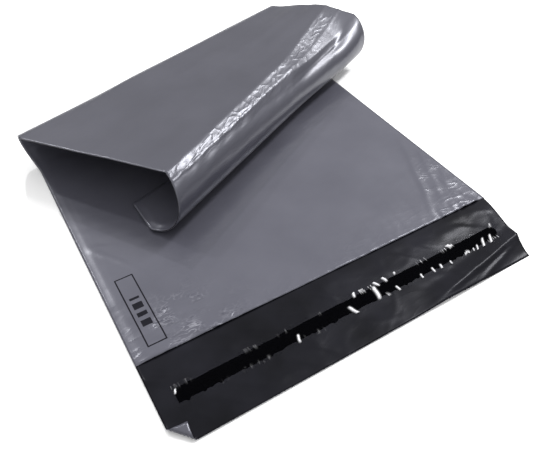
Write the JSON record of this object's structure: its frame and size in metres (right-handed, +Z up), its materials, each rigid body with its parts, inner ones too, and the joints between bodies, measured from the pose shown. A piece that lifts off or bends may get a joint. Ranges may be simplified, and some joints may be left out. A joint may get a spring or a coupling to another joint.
{
  "type": "poly mailer",
  "caption": "Grey plastic film mailing bag with a black inside, its sealed end folded back and rolled over, its closing flap open with a glue strip under a clear liner.",
  "frame": {"origin": "middle of the bounding box, on the surface that the mailer lies on", "axes": "+Z up, +Y from the flap towards the rolled end, +X across the width towards the side where the roll overhangs"},
  "size_m": [0.1196, 0.1346, 0.0169],
  "materials": {
    "film": "satin, grey outside and black inside",
    "adhesive": "smooth",
    "liner": "clear gloss, crinkled",
    "ink": "matt print"
  },
  "bodies": {
    "root": {"mailer_film": "film", "adhesive_strip": "adhesive", "release_liner": "liner", "print_frame": "ink"}
  },
  "joints": []
}
